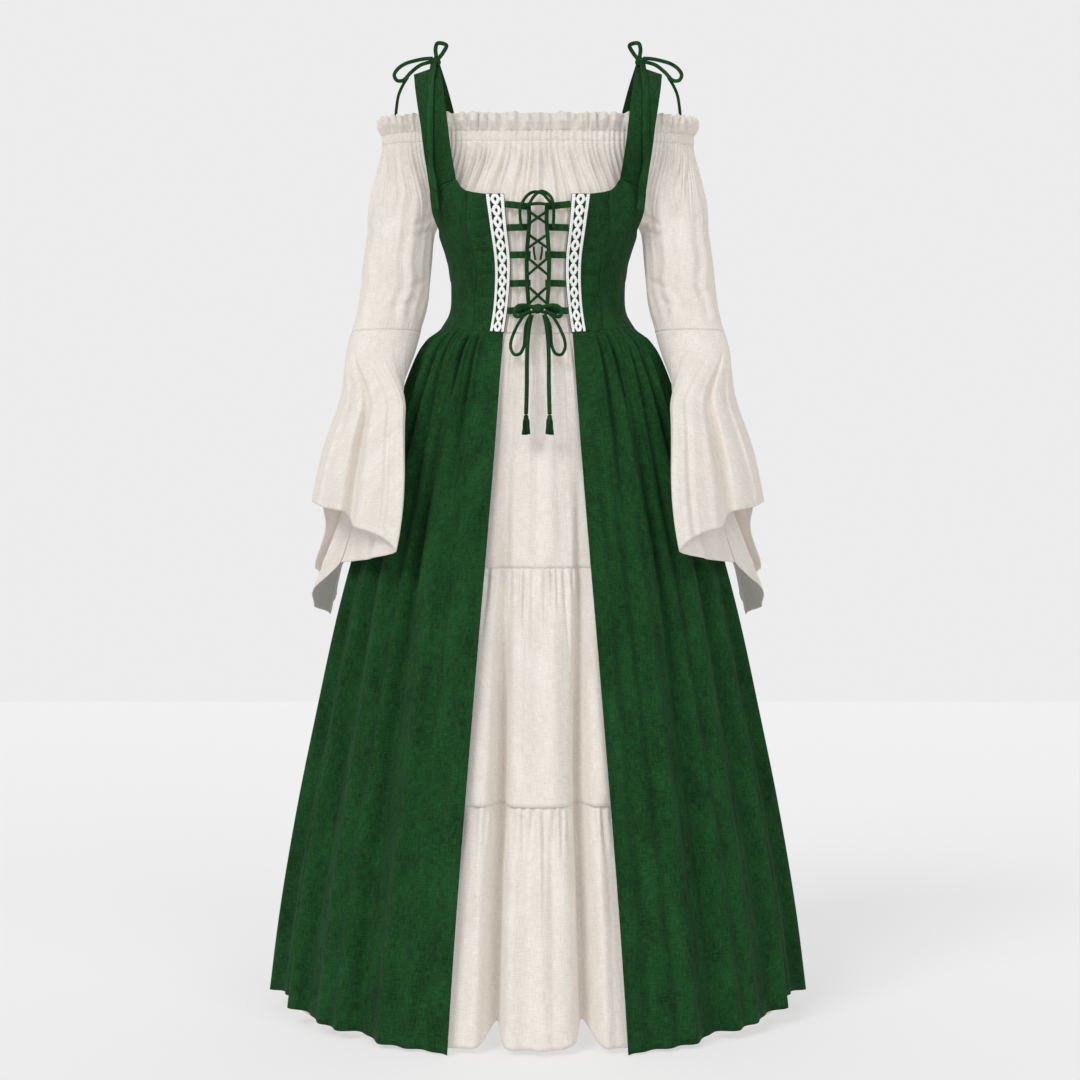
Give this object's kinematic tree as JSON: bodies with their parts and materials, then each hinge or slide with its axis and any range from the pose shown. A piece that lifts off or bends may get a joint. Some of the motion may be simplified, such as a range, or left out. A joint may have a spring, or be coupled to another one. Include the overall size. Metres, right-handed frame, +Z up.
{
  "type": "medieval gown",
  "caption": "Off-shoulder chemise with bell sleeves and tiered skirt under a laced, open-fronted green overdress with tied shoulder straps, filled out as worn.",
  "frame": {"origin": "midway between the two shoulder ties, at shoulder height, where the wearer holds the gown up", "axes": "+Z up, the front of the gown faces -Y, +X to the right seen from the front"},
  "size_m": [0.7898, 0.7028, 1.4225],
  "materials": {
    "green_cloth": "matt plain-woven dark green cloth with a faint slub",
    "green_cord": "matt dark green sewn cord and ribbon",
    "linen": "crisp off-white slubby plain weave",
    "lace": "white corded trim lace"
  },
  "bodies": {
    "root": {"neck_frill": "linen", "neck_band": "linen", "chemise_front": "linen", "chemise_back": "linen", "sleeve_right": "linen", "sleeve_left": "linen", "bell_right": "linen", "bell_left": "linen", "tier_1": "linen", "tier_2": "linen", "tier_3": "linen", "overskirt_front_right": "green_cloth", "overskirt_front_left": "green_cloth", "overskirt_back": "green_cloth", "bodice_front_right": "green_cloth", "bodice_front_left": "green_cloth", "bodice_side_right": "green_cloth", "bodice_side_left": "green_cloth", "bodice_back": "green_cloth", "strap_front_right": "green_cloth", "strap_front_left": "green_cloth", "strap_back_right": "green_cloth", "strap_back_left": "green_cloth", "shoulder_bow_right": "green_cord", "shoulder_bow_left": "green_cord", "shoulder_tail_out_right": "green_cord", "shoulder_tail_out_left": "green_cord", "shoulder_tail_front_right": "green_cord", "shoulder_tail_front_left": "green_cord", "lace_right": "lace", "lace_left": "lace", "loop_1_right": "green_cloth", "loop_1_left": "green_cloth", "loop_2_right": "green_cloth", "loop_2_left": "green_cloth", "loop_3_right": "green_cloth", "loop_3_left": "green_cloth", "loop_4_right": "green_cloth", "loop_4_left": "green_cloth", "loop_5_right": "green_cloth", "loop_5_left": "green_cloth", "lacing_side_right": "green_cord", "lacing_side_left": "green_cord", "lacing_cross_1": "green_cord", "lacing_cross_2": "green_cord", "lacing_cross_3": "green_cord", "lacing_cross_4": "green_cord", "upper_bow": "green_cord", "upper_tail_right": "green_cord", "upper_tail_left": "green_cord", "lower_bow": "green_cord", "lower_tail_right": "green_cord", "lower_tail_left": "green_cord", "tassel_right": "green_cord", "tassel_left": "green_cord"}
  },
  "joints": []
}
